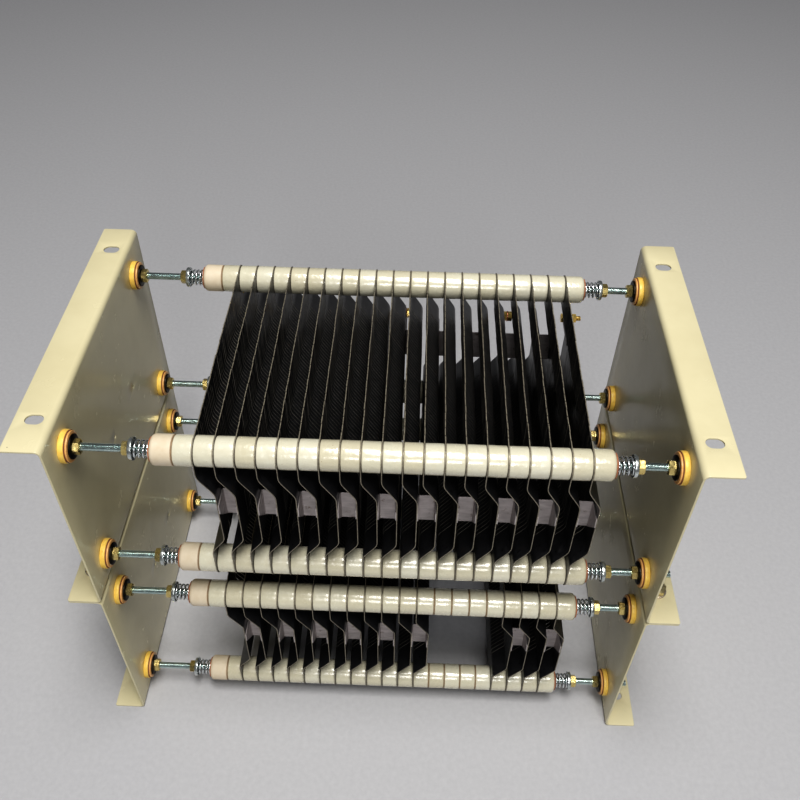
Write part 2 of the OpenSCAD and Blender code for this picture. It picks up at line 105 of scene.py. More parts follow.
# ---- Finding places in the frame ----

def solids(node):
    """Lowest and highest corner of each separate solid of a CAD node, from left to right."""
    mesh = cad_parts[node].data
    points = np.empty(len(mesh.vertices) * 3)
    mesh.vertices.foreach_get("co", points)
    points = points.reshape(-1, 3)
    welded = np.unique(np.round(points / (0.002 * MM)).astype(np.int64), axis=0, return_inverse=True)[1]
    welded = welded.reshape(-1)
    edges = np.empty(len(mesh.edges) * 2, np.int64)
    mesh.edges.foreach_get("vertices", edges)
    a, b = welded[edges].reshape(-1, 2).T
    label = np.arange(welded.max() + 1)
    settled = False
    while not settled:
        before = label.copy()
        lowest = np.minimum(label[a], label[b])
        np.minimum.at(label, a, lowest)
        np.minimum.at(label, b, lowest)
        label = label[label]
        settled = bool((label == before).all())
    group = label[welded]
    boxes = []
    for g in np.unique(group):
        mine = points[group == g]
        boxes.append((Vector(mine.min(0)), Vector(mine.max(0))))
    return sorted(boxes, key=lambda box: tuple(round(c, 4) for c in (box[0] + box[1]) / 2))


def middle(box):
    return (box[0] + box[1]) / 2


def rod_name(tier, row, level):
    return f"{tier}_rod_{row}_{level}"


sheet_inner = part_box("upper_end_plate_right")[0].x
sheet_middle = sheet_inner + SHEET / 2
rod_front = middle(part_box(rod_name("upper", "front", "top")))
rod_low = middle(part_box(rod_name("upper", "front", "bottom")))
ROD_Y = -rod_front.y
ROD_Z = (rod_front.z - rod_low.z) / 2


# ---- Outlines ----

def rounded(corners, steps=4):
    """Closed outline from (x, y, radius) corners, each radius drawn as an arc."""
    outline = []
    for i, (x, y, radius) in enumerate(corners):
        here = Vector((x, y))
        if radius == 0:
            outline.append((x, y))
            continue
        back = (Vector(corners[i - 1][:2]) - here).normalized()
        on = (Vector(corners[(i + 1) % len(corners)][:2]) - here).normalized()
        half = back.angle(on) / 2
        start = here + back * radius / math.tan(half)
        end = here + on * radius / math.tan(half)
        weight = math.sin(half)
        for k in range(steps + 1):
            t = k / steps
            a, b, c = (1 - t) ** 2, 2 * weight * t * (1 - t), t * t
            outline.append(tuple((start * a + here * b + end * c) / (a + b + c)))
    return outline


def circle(x, y, radius, steps):
    angles = [2 * math.pi * k / steps for k in range(steps)]
    return [(x + radius * math.cos(a), y + radius * math.sin(a)) for a in angles]


def stadium(x, y, length, width):
    """Slot outline, long along its second coordinate."""
    steps = 12
    reach = (length - width) / 2
    outline = []
    for way in (1, -1):
        for k in range(steps + 1):
            a = math.pi * k / steps
            outline.append((x + way * width / 2 * math.cos(a), y + way * (reach + width / 2 * math.sin(a))))
    return outline


def inside(points, outline):
    """Which of the points lie inside an outline."""
    x, y = points[:, 0], points[:, 1]
    result = np.zeros(len(points), bool)
    for (ax, ay), (bx, by) in zip(outline, outline[1:] + outline[:1]):
        if ay != by:
            crosses = (ay > y) != (by > y)
            result ^= crosses & (x < (bx - ax) * (y - ay) / (by - ay) + ax)
    return result


def pattern(outline, holes, lines=()):
    """Flat mesh of an outline with holes, with edges along the lines: its points and faces."""
    points, edges = [], []
    for loop in (outline, *holes):
        start, count = len(points), len(loop)
        points.extend(Vector(p) for p in loop)
        edges.extend((start + i, start + (i + 1) % count) for i in range(count))
    for a, b in lines:
        edges.append((len(points), len(points) + 1))
        points.extend((Vector(a), Vector(b)))
    flat, _, triangles, *_ = delaunay_2d_cdt(points, edges, [], 0, 1e-7)
    xy = np.array([tuple(p) for p in flat])
    centres = xy[np.array([tuple(t) for t in triangles])].mean(1)
    keep = inside(centres, outline)
    for hole in holes:
        keep &= ~inside(centres, hole)
    bm = bmesh.new()
    verts = [bm.verts.new((p[0], p[1], 0)) for p in xy]
    for chosen, triangle in zip(keep, triangles):
        if chosen:
            bm.faces.new([verts[i] for i in triangle])
    loose = [v for v in bm.verts if not v.link_faces]
    bmesh.ops.delete(bm, geom=loose, context="VERTS")
    bmesh.ops.join_triangles(
        bm, faces=bm.faces[:], angle_face_threshold=math.pi, angle_shape_threshold=math.radians(60)
    )
    bm.verts.index_update()
    result = [(v.co.x, v.co.y) for v in bm.verts], [[v.index for v in f.verts] for f in bm.faces]
    bm.free()
    return result


# ---- Closed shells ----

class Shape:
    """Points and faces of one piece, gathered from closed shells."""

    def __init__(self):
        self.points, self.faces, self.finish, self.tone, self.wear = [], [], [], [], []

    def add(self, points, faces, finish=0, tone=0.5, wear=None):
        """Adds a shell. tone sets it apart from its like; wear, per point, says where dirt gathers."""
        start = len(self.points)
        self.points.extend(points)
        self.faces.extend([start + i for i in face] for face in faces)
        self.finish.extend([finish] * len(faces))
        self.tone.extend([tone] * len(points))
        self.wear.extend(wear or [0.0] * len(points))


AXES = {
    "x": (Vector((1, 0, 0)), Vector((0, 1, 0)), Vector((0, 0, 1))),
    "z": (Vector((0, 0, 1)), Vector((1, 0, 0)), Vector((0, 1, 0))),
}


def turn(shape, section, at, way=1, axis="x", steps=48, ring=True, bulge=None, dirt=None, **add):
    """Turns section(angle), a list of (along, radius) points, about an axis through at.
    With ring the section is a loop round a bore; without it both ends are capped.
    bulge(point, radius) adds to the radius, and dirt(along, radius) gives a point's wear."""
    along_axis, across, up = AXES[axis]
    count = len(section(0))
    points, faces, wear = [], [], []
    for j in range(steps):
        angle = 2 * math.pi * j / steps
        outward = across * math.cos(angle) + up * math.sin(angle)
        for along, radius in section(angle):
            point = at + along_axis * (way * along) + outward * radius
            points.append(point + outward * bulge(point, radius) if bulge else point)
            wear.append(dirt(along, radius) if dirt else 0.0)
    for j in range(steps):
        here, on = j * count, (j + 1) % steps * count
        for i in range(count if ring else count - 1):
            k = (i + 1) % count
            faces.append((here + i, here + k, on + k, on + i))
    if not ring:
        faces.append([j * count for j in range(steps)])
        faces.append([j * count + count - 1 for j in range(steps)])
    shape.add(points, faces, wear=wear, **add)


def ring_section(length, outer, inner, edge=0.2 * MM):
    """Section of a ring with rounded outer edges."""
    loop = rounded([(0, inner, 0), (0, outer, edge), (length, outer, edge), (length, inner, 0)], 2)
    return lambda angle: loop


def rod_section(length, radius):
    edge = 0.2 * MM
    line = [(0, radius - edge), (edge, radius), (length - edge, radius), (length, radius - edge)]
    return lambda angle: line


def hexagon_radius(angle, flats):
    """Distance from a hexagon's axis to its outline at an angle."""
    return flats / 2 / math.cos((angle + math.pi / 6) % (math.pi / 3) - math.pi / 6)


def nut_section(length, flats, bore, phase):
    """Section of a hexagon nut whose corners are turned off at both ends."""
    face_r = flats / 2 * NUT_RIM
    entry = 0.35 * MM

    def section(angle):
        edge = hexagon_radius(angle + phase, flats)
        cut = (edge - face_r) * NUT_SLOPE
        return [
            (entry, bore), (0, bore + entry), (0, face_r), (cut, edge),
            (length - cut, edge), (length, face_r), (length, bore + entry), (length - entry, bore),
        ]

    return section


def head_section(length, flats, phase):
    """Section of a solid hexagon bolt head, turned off at its far end."""
    face_r = flats / 2 * NUT_RIM

    def section(angle):
        edge = hexagon_radius(angle + phase, flats)
        cut = (edge - face_r) * NUT_SLOPE
        loop = [(0, edge * 0.985), (0.15 * MM, edge), (length - cut, edge)]
        return loop + [(length, face_r), (length, face_r * 0.6)]

    return section


def nut_phase(draw):
    """Angle that a nut or a bolt head happens to be tightened to."""
    return draw.randrange(10) * math.radians(6)


def thread(shape, at, length, radius, pitch, way=1, axis="x", **add):
    """Threaded bar from at, with a turned-down end and a helical thread."""
    along_axis, across, up = AXES[axis]
    steps = 20
    depth = 0.45 * pitch
    profile = ((0.0, depth), (0.08, depth), (0.38, 0.0), (0.70, 0.0))
    turns = int(length / pitch) - 1
    columns = [(pitch * (k + part), cut) for k in range(turns) for part, cut in profile]
    span = columns[-1][0] + pitch
    points, faces, wear = [], [], []
    for j in range(steps):
        share = j / steps
        outward = across * math.cos(2 * math.pi * share) + up * (way * math.sin(2 * math.pi * share))
        for along, cut in columns:
            here = along + pitch * share
            end_gap = min(here, span - here)
            r = min(radius - cut, radius - 0.9 * depth + end_gap * 0.8)
            points.append(at + along_axis * (way * here) + outward * r)
            wear.append(cut / depth)
    count, shift = len(columns), len(profile)
    for j in range(steps - 1):
        for i in range(count - 1):
            a, b = j * count + i, (j + 1) * count + i
            faces.append((a, a + 1, b + 1, b))
    last = (steps - 1) * count
    for i in range(count - 1 - shift):
        a, b = last + i, i + shift
        faces.append((a, a + 1, b + 1, b))
    near = [j * count for j in range(steps)] + list(range(shift, 0, -1))
    far = [j * count + count - 1 for j in range(steps)]
    far += [last + i for i in range(count - 2, count - 2 - shift, -1)]
    shape.add(points, faces + [near, far], wear=wear, **add)


def coil(shape, at, length, radius, wire, turns, start, way, **add):
    """Compression spring along X with closed ends, which begins at the angle start."""
    steps, sides = 28, 10  # rings of points to a turn, and points to a ring
    rings = int(turns * steps) + 1
    dead = 0.5  # turns at each end that lie closed
    points = []
    for k in range(rings):
        spun = turns * k / (rings - 1)
        free = min(max((spun - dead) / (turns - 2 * dead), 0.0), 1.0)
        crowd = wire * 0.25 * (min(spun, dead) - min(turns - spun, dead)) / dead
        along = wire * 0.75 + free * (length - wire * 1.5) + crowd
        along = min(max(along, wire / 2), length - wire / 2)
        angle = start + 2 * math.pi * spun
        outward = Vector((0, math.cos(angle), math.sin(angle)))
        for s in range(sides):
            a = 2 * math.pi * s / sides
            lift = wire / 2 * math.sin(a)
            out = radius - wire / 2 + wire / 2 * math.cos(a)
            points.append(at + Vector((way * (along + lift), 0, 0)) + outward * out)
    faces = [list(range(sides)), [(rings - 1) * sides + s for s in range(sides)]]
    for k in range(rings - 1):
        for s in range(sides):
            n = (s + 1) % sides
            faces.append((k * sides + s, k * sides + n, (k + 1) * sides + n, (k + 1) * sides + s))
    shape.add(points, faces, **add)


def bent_sheet(shape, flat, surface, thickness, edge=lambda u, v: 0, tone=0.5):
    """Sheet of a thickness whose middle follows surface(u, v) -> (point, normal).
    edge(u, v) gives the finish of its cut edges."""
    points, faces = flat
    count = len(points)
    upper, lower = [], []
    for u, v in points:
        point, normal = surface(u, v)
        upper.append(point + normal * thickness / 2)
        lower.append(point - normal * thickness / 2)
    start = len(shape.points)
    under = [[i + count for i in reversed(f)] for f in faces]
    shape.add(upper + lower, list(faces) + under, tone=tone)
    uses = {}
    for f in faces:
        for a, b in zip(f, f[1:] + f[:1]):
            uses.setdefault((min(a, b), max(a, b)), []).append((a, b))
    for (a, b), *more in uses.values():
        if not more:
            shape.faces.append([start + i for i in (b, a, a + count, b + count)])
            shape.finish.append(edge((points[a][0] + points[b][0]) / 2, (points[a][1] + points[b][1]) / 2))


def strip(shape, path, thickness, low, high, rise, **add):
    """Strip of metal standing on edge along a path of (x, y) points, from height low to high.
    rise(point) lifts its lower edge."""
    points, faces = [], []
    line = [Vector(p) for p in path]
    bevel = 0.12 * MM
    for i, here in enumerate(line):
        before, after = line[max(i - 1, 0)], line[min(i + 1, len(line) - 1)]
        ahead = (after - before).normalized()
        side = Vector((-ahead.y, ahead.x)) * thickness / 2
        slim = side * (1 - 2 * bevel / thickness)
        foot = low + rise(here)
        for offset, z in (
            (slim, foot), (-slim, foot), (-side, foot + bevel), (-side, high - bevel),
            (-slim, high), (slim, high), (side, high - bevel), (side, foot + bevel),
        ):
            points.append(Vector((here.x + offset.x, here.y + offset.y, z)))
    for i in range(len(line) - 1):
        for k in range(8):
            n = (k + 1) % 8
            faces.append((i * 8 + k, i * 8 + n, (i + 1) * 8 + n, (i + 1) * 8 + k))
    faces += [list(range(8)), [(len(line) - 1) * 8 + k for k in range(8)]]
    shape.add(points, faces, **add)


# ---- Materials ----

class Surface:
    """Principled material, with short ways to add detail to it. Sizes are in metres."""

    def __init__(self, name, **sockets):
        self.material = bpy.data.materials.new(name)
        self.material.use_nodes = True
        self.tree = self.material.node_tree
        self.shader = self.tree.nodes["Principled BSDF"]
        self.place = self.tree.nodes.new("ShaderNodeTexCoord").outputs["Object"]
        self.normal = None
        for socket, value in sockets.items():
            self.shader.inputs[socket.replace("_", " ")].default_value = value

    def node(self, kind, links, **values):
        node = self.tree.nodes.new(kind)
        for socket, value in values.items():
            node.inputs[socket.replace("_", " ")].default_value = value
        for socket, source in links:
            self.tree.links.new(source, node.inputs[socket])
        return node

    def stretched(self, stretch):
        return self.node("ShaderNodeMapping", [("Vector", self.place)], Scale=stretch).outputs[0]

    def noise(self, size, detail=3.0, rough=0.5, stretch=None):
        place = self.stretched(stretch) if stretch else self.place
        values = {"Scale": 1 / size, "Detail": detail, "Roughness": rough}
        return self.node("ShaderNodeTexNoise", [("Vector", place)], **values).outputs[0]

    def cells(self, size):
        """Distance from the nearest of many scattered points, in cell sizes."""
        return self.node("ShaderNodeTexVoronoi", [("Vector", self.place)], Scale=1 / size).outputs["Distance"]

    def fit(self, value, low, high, to_low=0.0, to_high=1.0):
        names = {"From_Min": low, "From_Max": high, "To_Min": to_low, "To_Max": to_high}
        return self.node("ShaderNodeMapRange", [("Value", value)], **names).outputs[0]

    def times(self, a, b):
        node = self.tree.nodes.new("ShaderNodeMath")
        node.operation = "MULTIPLY"
        self.tree.links.new(a, node.inputs[0])
        self.tree.links.new(b, node.inputs[1])
        return node.outputs[0]

    def ramp(self, value, *stops):
        node = self.node("ShaderNodeValToRGB", [("Fac", value)])
        elements = node.color_ramp.elements
        while len(elements) < len(stops):
            elements.new(0.5)
        for element, (at, colour) in zip(elements, stops):
            element.position = at
            element.color = (*colour, 1)
        return node.outputs[0]

    def blend(self, share, a, b):
        """Colour a turning into colour b as share goes from 0 to 1."""
        node = self.tree.nodes.new("ShaderNodeMix")
        node.data_type = "RGBA"
        self.tree.links.new(share, node.inputs[0])
        for socket, source in ((node.inputs[6], a), (node.inputs[7], b)):
            if isinstance(source, tuple):
                socket.default_value = (*source, 1)
            else:
                self.tree.links.new(source, socket)
        return node.outputs[2]

    def attribute(self, name):
        node = self.tree.nodes.new("ShaderNodeAttribute")
        node.attribute_name = name
        return node.outputs["Fac"]

    def colour(self, source):
        self.tree.links.new(source, self.shader.inputs["Base Color"])

    def roughness(self, source):
        self.tree.links.new(source, self.shader.inputs["Roughness"])

    def bump(self, height, depth):
        links = [("Height", height)]
        if self.normal:
            links.append(("Normal", self.normal))
        self.normal = self.node("ShaderNodeBump", links, Strength=1.0, Distance=depth).outputs[0]
        self.tree.links.new(self.normal, self.shader.inputs["Normal"])


def cream_paint():
    """Stoved paint on sheet steel, with orange peel, dust and a few nicks."""
    s = Surface("cream_paint", Specular_IOR_Level=0.5)
    clouds = s.noise(90 * MM, 5, 0.6)
    dust = s.fit(s.noise(14 * MM, 6, 0.7), 0.60, 0.85)
    base = s.ramp(clouds, (0.3, (0.70, 0.64, 0.43)), (0.7, (0.77, 0.71, 0.49)))
    dusty = s.blend(s.fit(dust, 0, 1, 0, 0.2), base, (0.60, 0.56, 0.44))
    nicks = s.fit(s.cells(41 * MM), 0.016, 0.010)
    s.colour(s.blend(nicks, dusty, (0.30, 0.27, 0.20)))
    s.roughness(s.fit(s.noise(30 * MM, 5, 0.6), 0.3, 0.7, 0.17, 0.29))
    s.bump(s.noise(1.6 * MM, 2), 0.02 * MM)
    return s.material


def glaze():
    """Glazed porcelain: each bead has its own tone, with specks, pits and brown seams."""
    s = Surface("porcelain_glaze", Coat_Weight=0.5, Coat_Roughness=0.12, Specular_IOR_Level=0.5)
    tone = s.attribute("tone")
    body = s.ramp(tone, (0.0, (0.64, 0.60, 0.46)), (0.5, (0.70, 0.67, 0.53)), (1.0, (0.75, 0.725, 0.60)))
    cloudy = s.blend(s.fit(s.noise(9 * MM, 4), 0.4, 0.8, 0, 0.4), body, (0.68, 0.62, 0.46))
    specks = s.fit(s.cells(4.5 * MM), 0.075, 0.05)
    some = s.fit(s.noise(7 * MM, 2), 0.54, 0.58)
    spotted = s.blend(s.times(specks, some), cloudy, (0.30, 0.19, 0.10))
    seam = s.times(s.attribute("wear"), s.fit(s.noise(2.2 * MM, 4, 0.6), 0.36, 0.62, 0.05, 0.9))
    s.colour(s.blend(seam, spotted, (0.33, 0.24, 0.15)))
    s.roughness(s.fit(s.noise(5 * MM, 4), 0.3, 0.7, 0.16, 0.34))
    s.bump(s.noise(7 * MM, 2), 0.50 * MM)
    s.bump(s.fit(s.cells(3.1 * MM), 0.10, 0.0), 0.05 * MM)
    return s.material


def bisque():
    """Unglazed porcelain of the first bead on each rod."""
    s = Surface("porcelain_bisque")
    cloudy = s.ramp(s.noise(8 * MM, 5, 0.6), (0.3, (0.70, 0.60, 0.45)), (0.7, (0.76, 0.67, 0.53)))
    seam = s.times(s.attribute("wear"), s.fit(s.noise(2 * MM, 4), 0.3, 0.6, 0.2, 0.9))
    s.colour(s.blend(seam, cloudy, (0.36, 0.24, 0.16)))
    s.roughness(s.fit(s.noise(3 * MM, 3), 0.3, 0.7, 0.48, 0.62))
    s.bump(s.noise(0.9 * MM, 3), 0.03 * MM)
    return s.material


def black_oxide():
    """Faces of a grid plate: blued, with rolling streaks, rubbed spots and brown scale."""
    s = Surface("grid_oxide", Specular_IOR_Level=0.85)
    streak = s.noise(3 * MM, 6, 0.65, stretch=(1, 1, 0.12))
    stops = ((0.3, (0.013, 0.013, 0.014)), (0.62, (0.034, 0.034, 0.037)), (0.8, (0.080, 0.077, 0.074)))
    base = s.ramp(streak, *stops)
    rust = s.fit(s.noise(11 * MM, 6, 0.7), 0.60, 0.72, 0, 0.5)
    browned = s.blend(rust, base, (0.060, 0.036, 0.020))
    rubbed = s.fit(s.noise(1.3 * MM, 5, 0.7, stretch=(1, 0.35, 1)), 0.66, 0.74, 0, 0.45)
    s.colour(s.blend(rubbed, browned, (0.16, 0.14, 0.11)))
    s.roughness(s.fit(streak, 0.25, 0.75, 0.24, 0.46))
    s.bump(s.noise(1.1 * MM, 4, 0.6), 0.03 * MM)
    return s.material


def cut_edge(name, light, dark):
    """Sheared edges of the grid plates."""
    s = Surface(name, Metallic=0.4)
    s.colour(s.ramp(s.noise(2.5 * MM, 5, 0.7), (0.3, dark), (0.6, light)))
    s.roughness(s.fit(s.noise(1 * MM, 3), 0.3, 0.7, 0.4, 0.65))
    s.bump(s.noise(0.5 * MM, 3), 0.03 * MM)
    return s.material


def bare_strip(name, light, dark):
    """Dull rolled strip, with weld heat stains."""
    s = Surface(name, Metallic=0.5)
    base = s.ramp(s.noise(6 * MM, 5, 0.6, stretch=(0.3, 0.3, 1)), (0.3, dark), (0.7, light))
    stains = s.fit(s.noise(7 * MM, 4, 0.6), 0.62, 0.72, 0, 0.7)
    s.colour(s.blend(stains, base, (0.16, 0.10, 0.06)))
    s.roughness(s.fit(s.noise(4 * MM, 4), 0.3, 0.7, 0.42, 0.6))
    s.bump(s.noise(0.8 * MM, 4), 0.02 * MM)
    return s.material


def plated(name, light, dark, stain, low_rough, high_rough, metallic=1.0, cloud=5 * MM):
    """Plated steel or brass: a metal with cloudy colour, dull patches and grime in its grooves."""
    s = Surface(name, Metallic=metallic)
    tinted = s.ramp(s.noise(cloud, 5, 0.6), (0.35, dark), (0.65, light))
    toned = s.blend(s.fit(s.attribute("tone"), 0, 1, 0, 0.25), tinted, dark)
    grime = s.fit(s.noise(2.4 * MM, 5, 0.7), 0.6, 0.75, 0, 0.7)
    grimy = s.blend(grime, toned, stain)
    s.colour(s.blend(s.fit(s.attribute("wear"), 0, 1, 0, 0.45), grimy, stain))
    s.roughness(s.fit(s.noise(3 * MM, 4), 0.3, 0.7, low_rough, high_rough))
    s.bump(s.noise(0.7 * MM, 3), 0.012 * MM)
    return s.material


def moulded(name, light, dark, low_rough, high_rough):
    """Moulded or pressed insulation, with faint flow marks and dirt."""
    grain = 2.5 * MM
    s = Surface(name)
    body = s.ramp(s.noise(grain * 2, 5, 0.6), (0.3, dark), (0.7, light))
    dirt = s.fit(s.noise(grain, 5, 0.7), 0.62, 0.76, 0, 0.5)
    s.colour(s.blend(dirt, body, tuple(c * 0.45 for c in dark)))
    s.roughness(s.fit(s.noise(grain, 3), 0.3, 0.7, low_rough, high_rough))
    s.bump(s.noise(grain * 0.3, 3), 0.02 * MM)
    return s.material


def floor_surface():
    """Plain pale studio floor, with a faint mottle."""
    s = Surface("pale_floor", Specular_IOR_Level=0.2)
    s.colour(s.ramp(s.noise(0.006, 4, 0.6), (0.3, (0.50, 0.50, 0.52)), (0.7, (0.54, 0.54, 0.56))))
    s.roughness(s.fit(s.noise(0.02, 3), 0.3, 0.7, 0.75, 0.9))
    return s.material


PAINT = cream_paint()
GLAZE = glaze()
BISQUE = bisque()
OXIDE = black_oxide()
CUT = cut_edge("grid_cut_edge", (0.34, 0.31, 0.245), (0.15, 0.13, 0.10))
SLIT_EDGE = cut_edge("grid_slit_edge", (0.34, 0.32, 0.28), (0.10, 0.09, 0.08))
STRIP = bare_strip("jumper_steel", (0.66, 0.61, 0.60), (0.46, 0.42, 0.41))
LUG = bare_strip("lug_steel", (0.34, 0.32, 0.30), (0.20, 0.18, 0.16))
ZINC = plated(
    "blue_zinc", (0.84, 0.94, 0.92), (0.66, 0.76, 0.75), (0.22, 0.27, 0.26), 0.16, 0.28, 0.95, cloud=14 * MM
)
SPRING_ZINC = plated("spring_zinc", (0.90, 0.93, 0.94), (0.62, 0.65, 0.66), (0.10, 0.10, 0.10), 0.08, 0.20, 0.85)
SEAT_ZINC = plated("seat_zinc", (0.76, 0.80, 0.79), (0.46, 0.49, 0.48), (0.10, 0.10, 0.09), 0.18, 0.36, 0.88)
YELLOW_ZINC = plated("yellow_zinc", (0.84, 0.72, 0.34), (0.64, 0.50, 0.22), (0.14, 0.11, 0.05), 0.16, 0.32, 0.88)
BOLT_ZINC = plated("bolt_zinc", (0.84, 0.75, 0.46), (0.64, 0.54, 0.32), (0.14, 0.11, 0.06), 0.20, 0.38, 0.8)
WASHER_ZINC = plated("washer_zinc", (0.82, 0.76, 0.68), (0.62, 0.54, 0.48), (0.16, 0.12, 0.09), 0.20, 0.38, 0.8)
BRASS = plated("brass", (0.95, 0.74, 0.28), (0.80, 0.56, 0.18), (0.24, 0.13, 0.05), 0.14, 0.3, 0.7)
COPPER = plated("copper", (0.86, 0.42, 0.28), (0.62, 0.26, 0.16), (0.20, 0.07, 0.04), 0.24, 0.4)
BLACKENED = plated("blackened_steel", (0.050, 0.046, 0.040), (0.022, 0.020, 0.018), (0.10, 0.07, 0.04), 0.3, 0.5)
AMBER = moulded("amber_bush", (0.90, 0.66, 0.18), (0.80, 0.53, 0.12), 0.26, 0.42)
CAP = moulded("cap_ring", (0.80, 0.48, 0.20), (0.66, 0.35, 0.12), 0.25, 0.4)
GASKET = moulded("gasket_fibre", (0.27, 0.10, 0.05), (0.17, 0.06, 0.035), 0.6, 0.8)
FIBRE = moulded("washer_fibre", (0.50, 0.22, 0.11), (0.38, 0.15, 0.08), 0.55, 0.75)
MICA = moulded("mica", (0.40, 0.28, 0.16), (0.26, 0.17, 0.10), 0.35, 0.55)


# ---- Making pieces ----

def make(node, shape, materials, slot, sharp=30, edge_bevel=0.0):
    """Piece of the object from a shape, which stands for a CAD node."""
    name = node + "_look"
    mesh = bpy.data.meshes.new(name)
    mesh.from_pydata(shape.points, [], shape.faces)
    mesh.polygons.foreach_set("material_index", shape.finish)
    for layer in ("tone", "wear"):
        mesh.attributes.new(layer, "FLOAT", "POINT").data.foreach_set("value", getattr(shape, layer))
    for material in materials:
        mesh.materials.append(material)
    bm = bmesh.new()
    bm.from_mesh(mesh)
    bmesh.ops.recalc_face_normals(bm, faces=bm.faces)
    if edge_bevel:
        edges = [e for e in bm.edges if len(e.link_faces) == 2 and e.calc_face_angle() > math.radians(60)]
        bmesh.ops.bevel(bm, geom=edges, offset=edge_bevel, segments=2, profile=0.5, affect="EDGES")
    bm.to_mesh(mesh)
    bm.free()
    mesh.shade_smooth()
    mesh.set_sharp_from_angle(angle=math.radians(sharp))
    piece = bpy.data.objects.new(name, mesh)
    bpy.context.scene.collection.objects.link(piece)
    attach(piece, "root")
    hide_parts(node)


# ---- End plates ----

@functools.cache
def end_plate_pattern(depth, web, arc, edge, with_label_holes):
    """End plate laid flat: front to back along u, and along the sheet from its middle along v."""
    half = depth / 2
    corner = 2 * MM
    corners = ((-half, -edge), (half, -edge), (half, edge), (-half, edge))
    outline = rounded([(u, v, corner) for u, v in corners])
    slot_v = web + arc + SLOT_INSET - BEND_R
    holes = [circle(u, v, BUSH_HOLE_R, 40) for u in (-ROD_Y, ROD_Y) for v in (-ROD_Z, ROD_Z)]
    holes += [stadium(u, v, SLOT_LEN, SLOT_W) for u in (-ROD_Y, ROD_Y) for v in (-slot_v, slot_v)]
    if with_label_holes:
        v = LABEL_HOLE_Z - (web + BEND_R)
        span = LABEL_HOLE_SPAN / 2
        holes += [circle(LABEL_HOLE_BACK + u, v, LABEL_HOLE_R, 20) for u in (-span, span)]
    bend_steps = 8
    levels = [sign * (web + arc * k / bend_steps) for sign in (-1, 1) for k in range(bend_steps + 1)]
    levels += [web * k / 6 for k in range(-5, 6)]
    beyond = 5 * MM
    lines = [((-half - beyond, v), (half + beyond, v)) for v in levels]
    lines += [((half * k / 7, -edge - beyond), (half * k / 7, edge + beyond)) for k in range(-6, 7)]
    return pattern(outline, holes, lines)


def end_plate(tier, side):
    node = f"{tier}_end_plate_{side}"
    low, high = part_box(node)
    way = 1 if side == "right" else -1
    middle_r = BEND_R - SHEET / 2
    web = (high.z - low.z) / 2 - BEND_R
    arc = middle_r * math.pi / 2
    edge = web + arc + high.x - low.x - BEND_R
    centre_z = (low.z + high.z) / 2

    def surface(u, v):
        sign = math.copysign(1, v)
        past = abs(v) - web
        angle = min(max(past / middle_r, 0), math.pi / 2)
        x = middle_r * (1 - math.cos(angle)) + max(past - arc, 0)
        z = min(abs(v), web) + middle_r * math.sin(angle)
        flatness = noise.noise(Vector((u, v, 3 * way)) / (70 * MM)) * 0.15 * MM
        normal = Vector((way * math.cos(angle), 0, -sign * math.sin(angle)))
        point = Vector((way * (sheet_middle + x), u, centre_z + sign * z))
        return point + normal * flatness * min(max(-past / (20 * MM), 0), 1), normal

    shape = Shape()
    bent_sheet(shape, end_plate_pattern(high.y - low.y, web, arc, edge, side == "left"), surface, SHEET)
    make(node, shape, [PAINT], "frame_paint", edge_bevel=0.35 * MM)


# ---- Rods, tubes and beads ----

def rod(tier, row, level):
    node = rod_name(tier, row, level)
    low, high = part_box(node)
    y, z = middle((low, high)).yz
    beads_low, beads_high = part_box(f"{tier}_beads_{row}_{level}")
    tuck = 4 * MM  # thread that goes on inside the end beads
    shape = Shape()
    thread(shape, Vector((low.x, y, z)), beads_low.x + tuck - low.x, ROD_R, THREAD_PITCH)
    thread(shape, Vector((high.x, y, z)), high.x - beads_high.x + tuck, ROD_R, THREAD_PITCH, way=-1)
    core = rod_section(beads_high.x - beads_low.x, ROD_R - 0.35 * MM)
    turn(shape, core, Vector((beads_low.x, y, z)), steps=24, ring=False)
    make(node, shape, [ZINC], "rod_zinc")


def insulating_tubes():
    shape = Shape()
    for low, high in solids("insulating_tubes"):
        y, z = middle((low, high)).yz
        section = ring_section(high.x - low.x, (high.y - low.y) / 2, ROD_R + 0.2 * MM)
        turn(shape, section, Vector((low.x, y, z)), steps=32)
    make("insulating_tubes", shape, [MICA], "tube_mica")


def bead_section(length, radius, near, far):
    """Section of a bead whose outer edges have the radii near and far."""
    corners = [(0, BEAD_BORE_R, 0), (0, radius, near), (length, radius, far), (length, BEAD_BORE_R, 0)]
    loop = rounded(corners, 5)
    first, last = 6, 7  # the arcs' ends on the outside
    (start, _), (end, _) = loop[first], loop[last]
    between = [(start + (end - start) * k / 4, radius) for k in (1, 2, 3)]
    return loop[:last] + between + loop[last:]


def leaning(loop, centre, slope, toward):
    """Section that sits a little askew on its axis."""
    def section(angle):
        lean = slope * math.cos(angle - toward)
        return [(along, radius + lean * (along - centre)) for along, radius in loop]
    return section


def in_bore(at_radius, radius):
    return at_radius < radius * 0.7


def glaze_bulge(radius):
    """Uneven thickness of the glaze on the outside of a bead."""
    def bulge(point, at_radius):
        if in_bore(at_radius, radius):
            return 0.0
        return noise.noise(point / (9 * MM)) * 0.10 * MM + noise.noise(point / (22 * MM)) * 0.08 * MM
    return bulge


def seam_dirt(length, radius, near, far):
    """Dirt gathers on a bead's edges, and less on the free end of an end bead."""
    def dirt(along, at_radius):
        if in_bore(at_radius, radius):
            return 0.0
        left = max(0.0, 1 - along / BEAD_DIRT) if near == BEAD_EDGE_R else 0.0
        right = max(0.0, 1 - (length - along) / BEAD_DIRT) if far == BEAD_EDGE_R else 0.0
        return max(left, right)
    return dirt


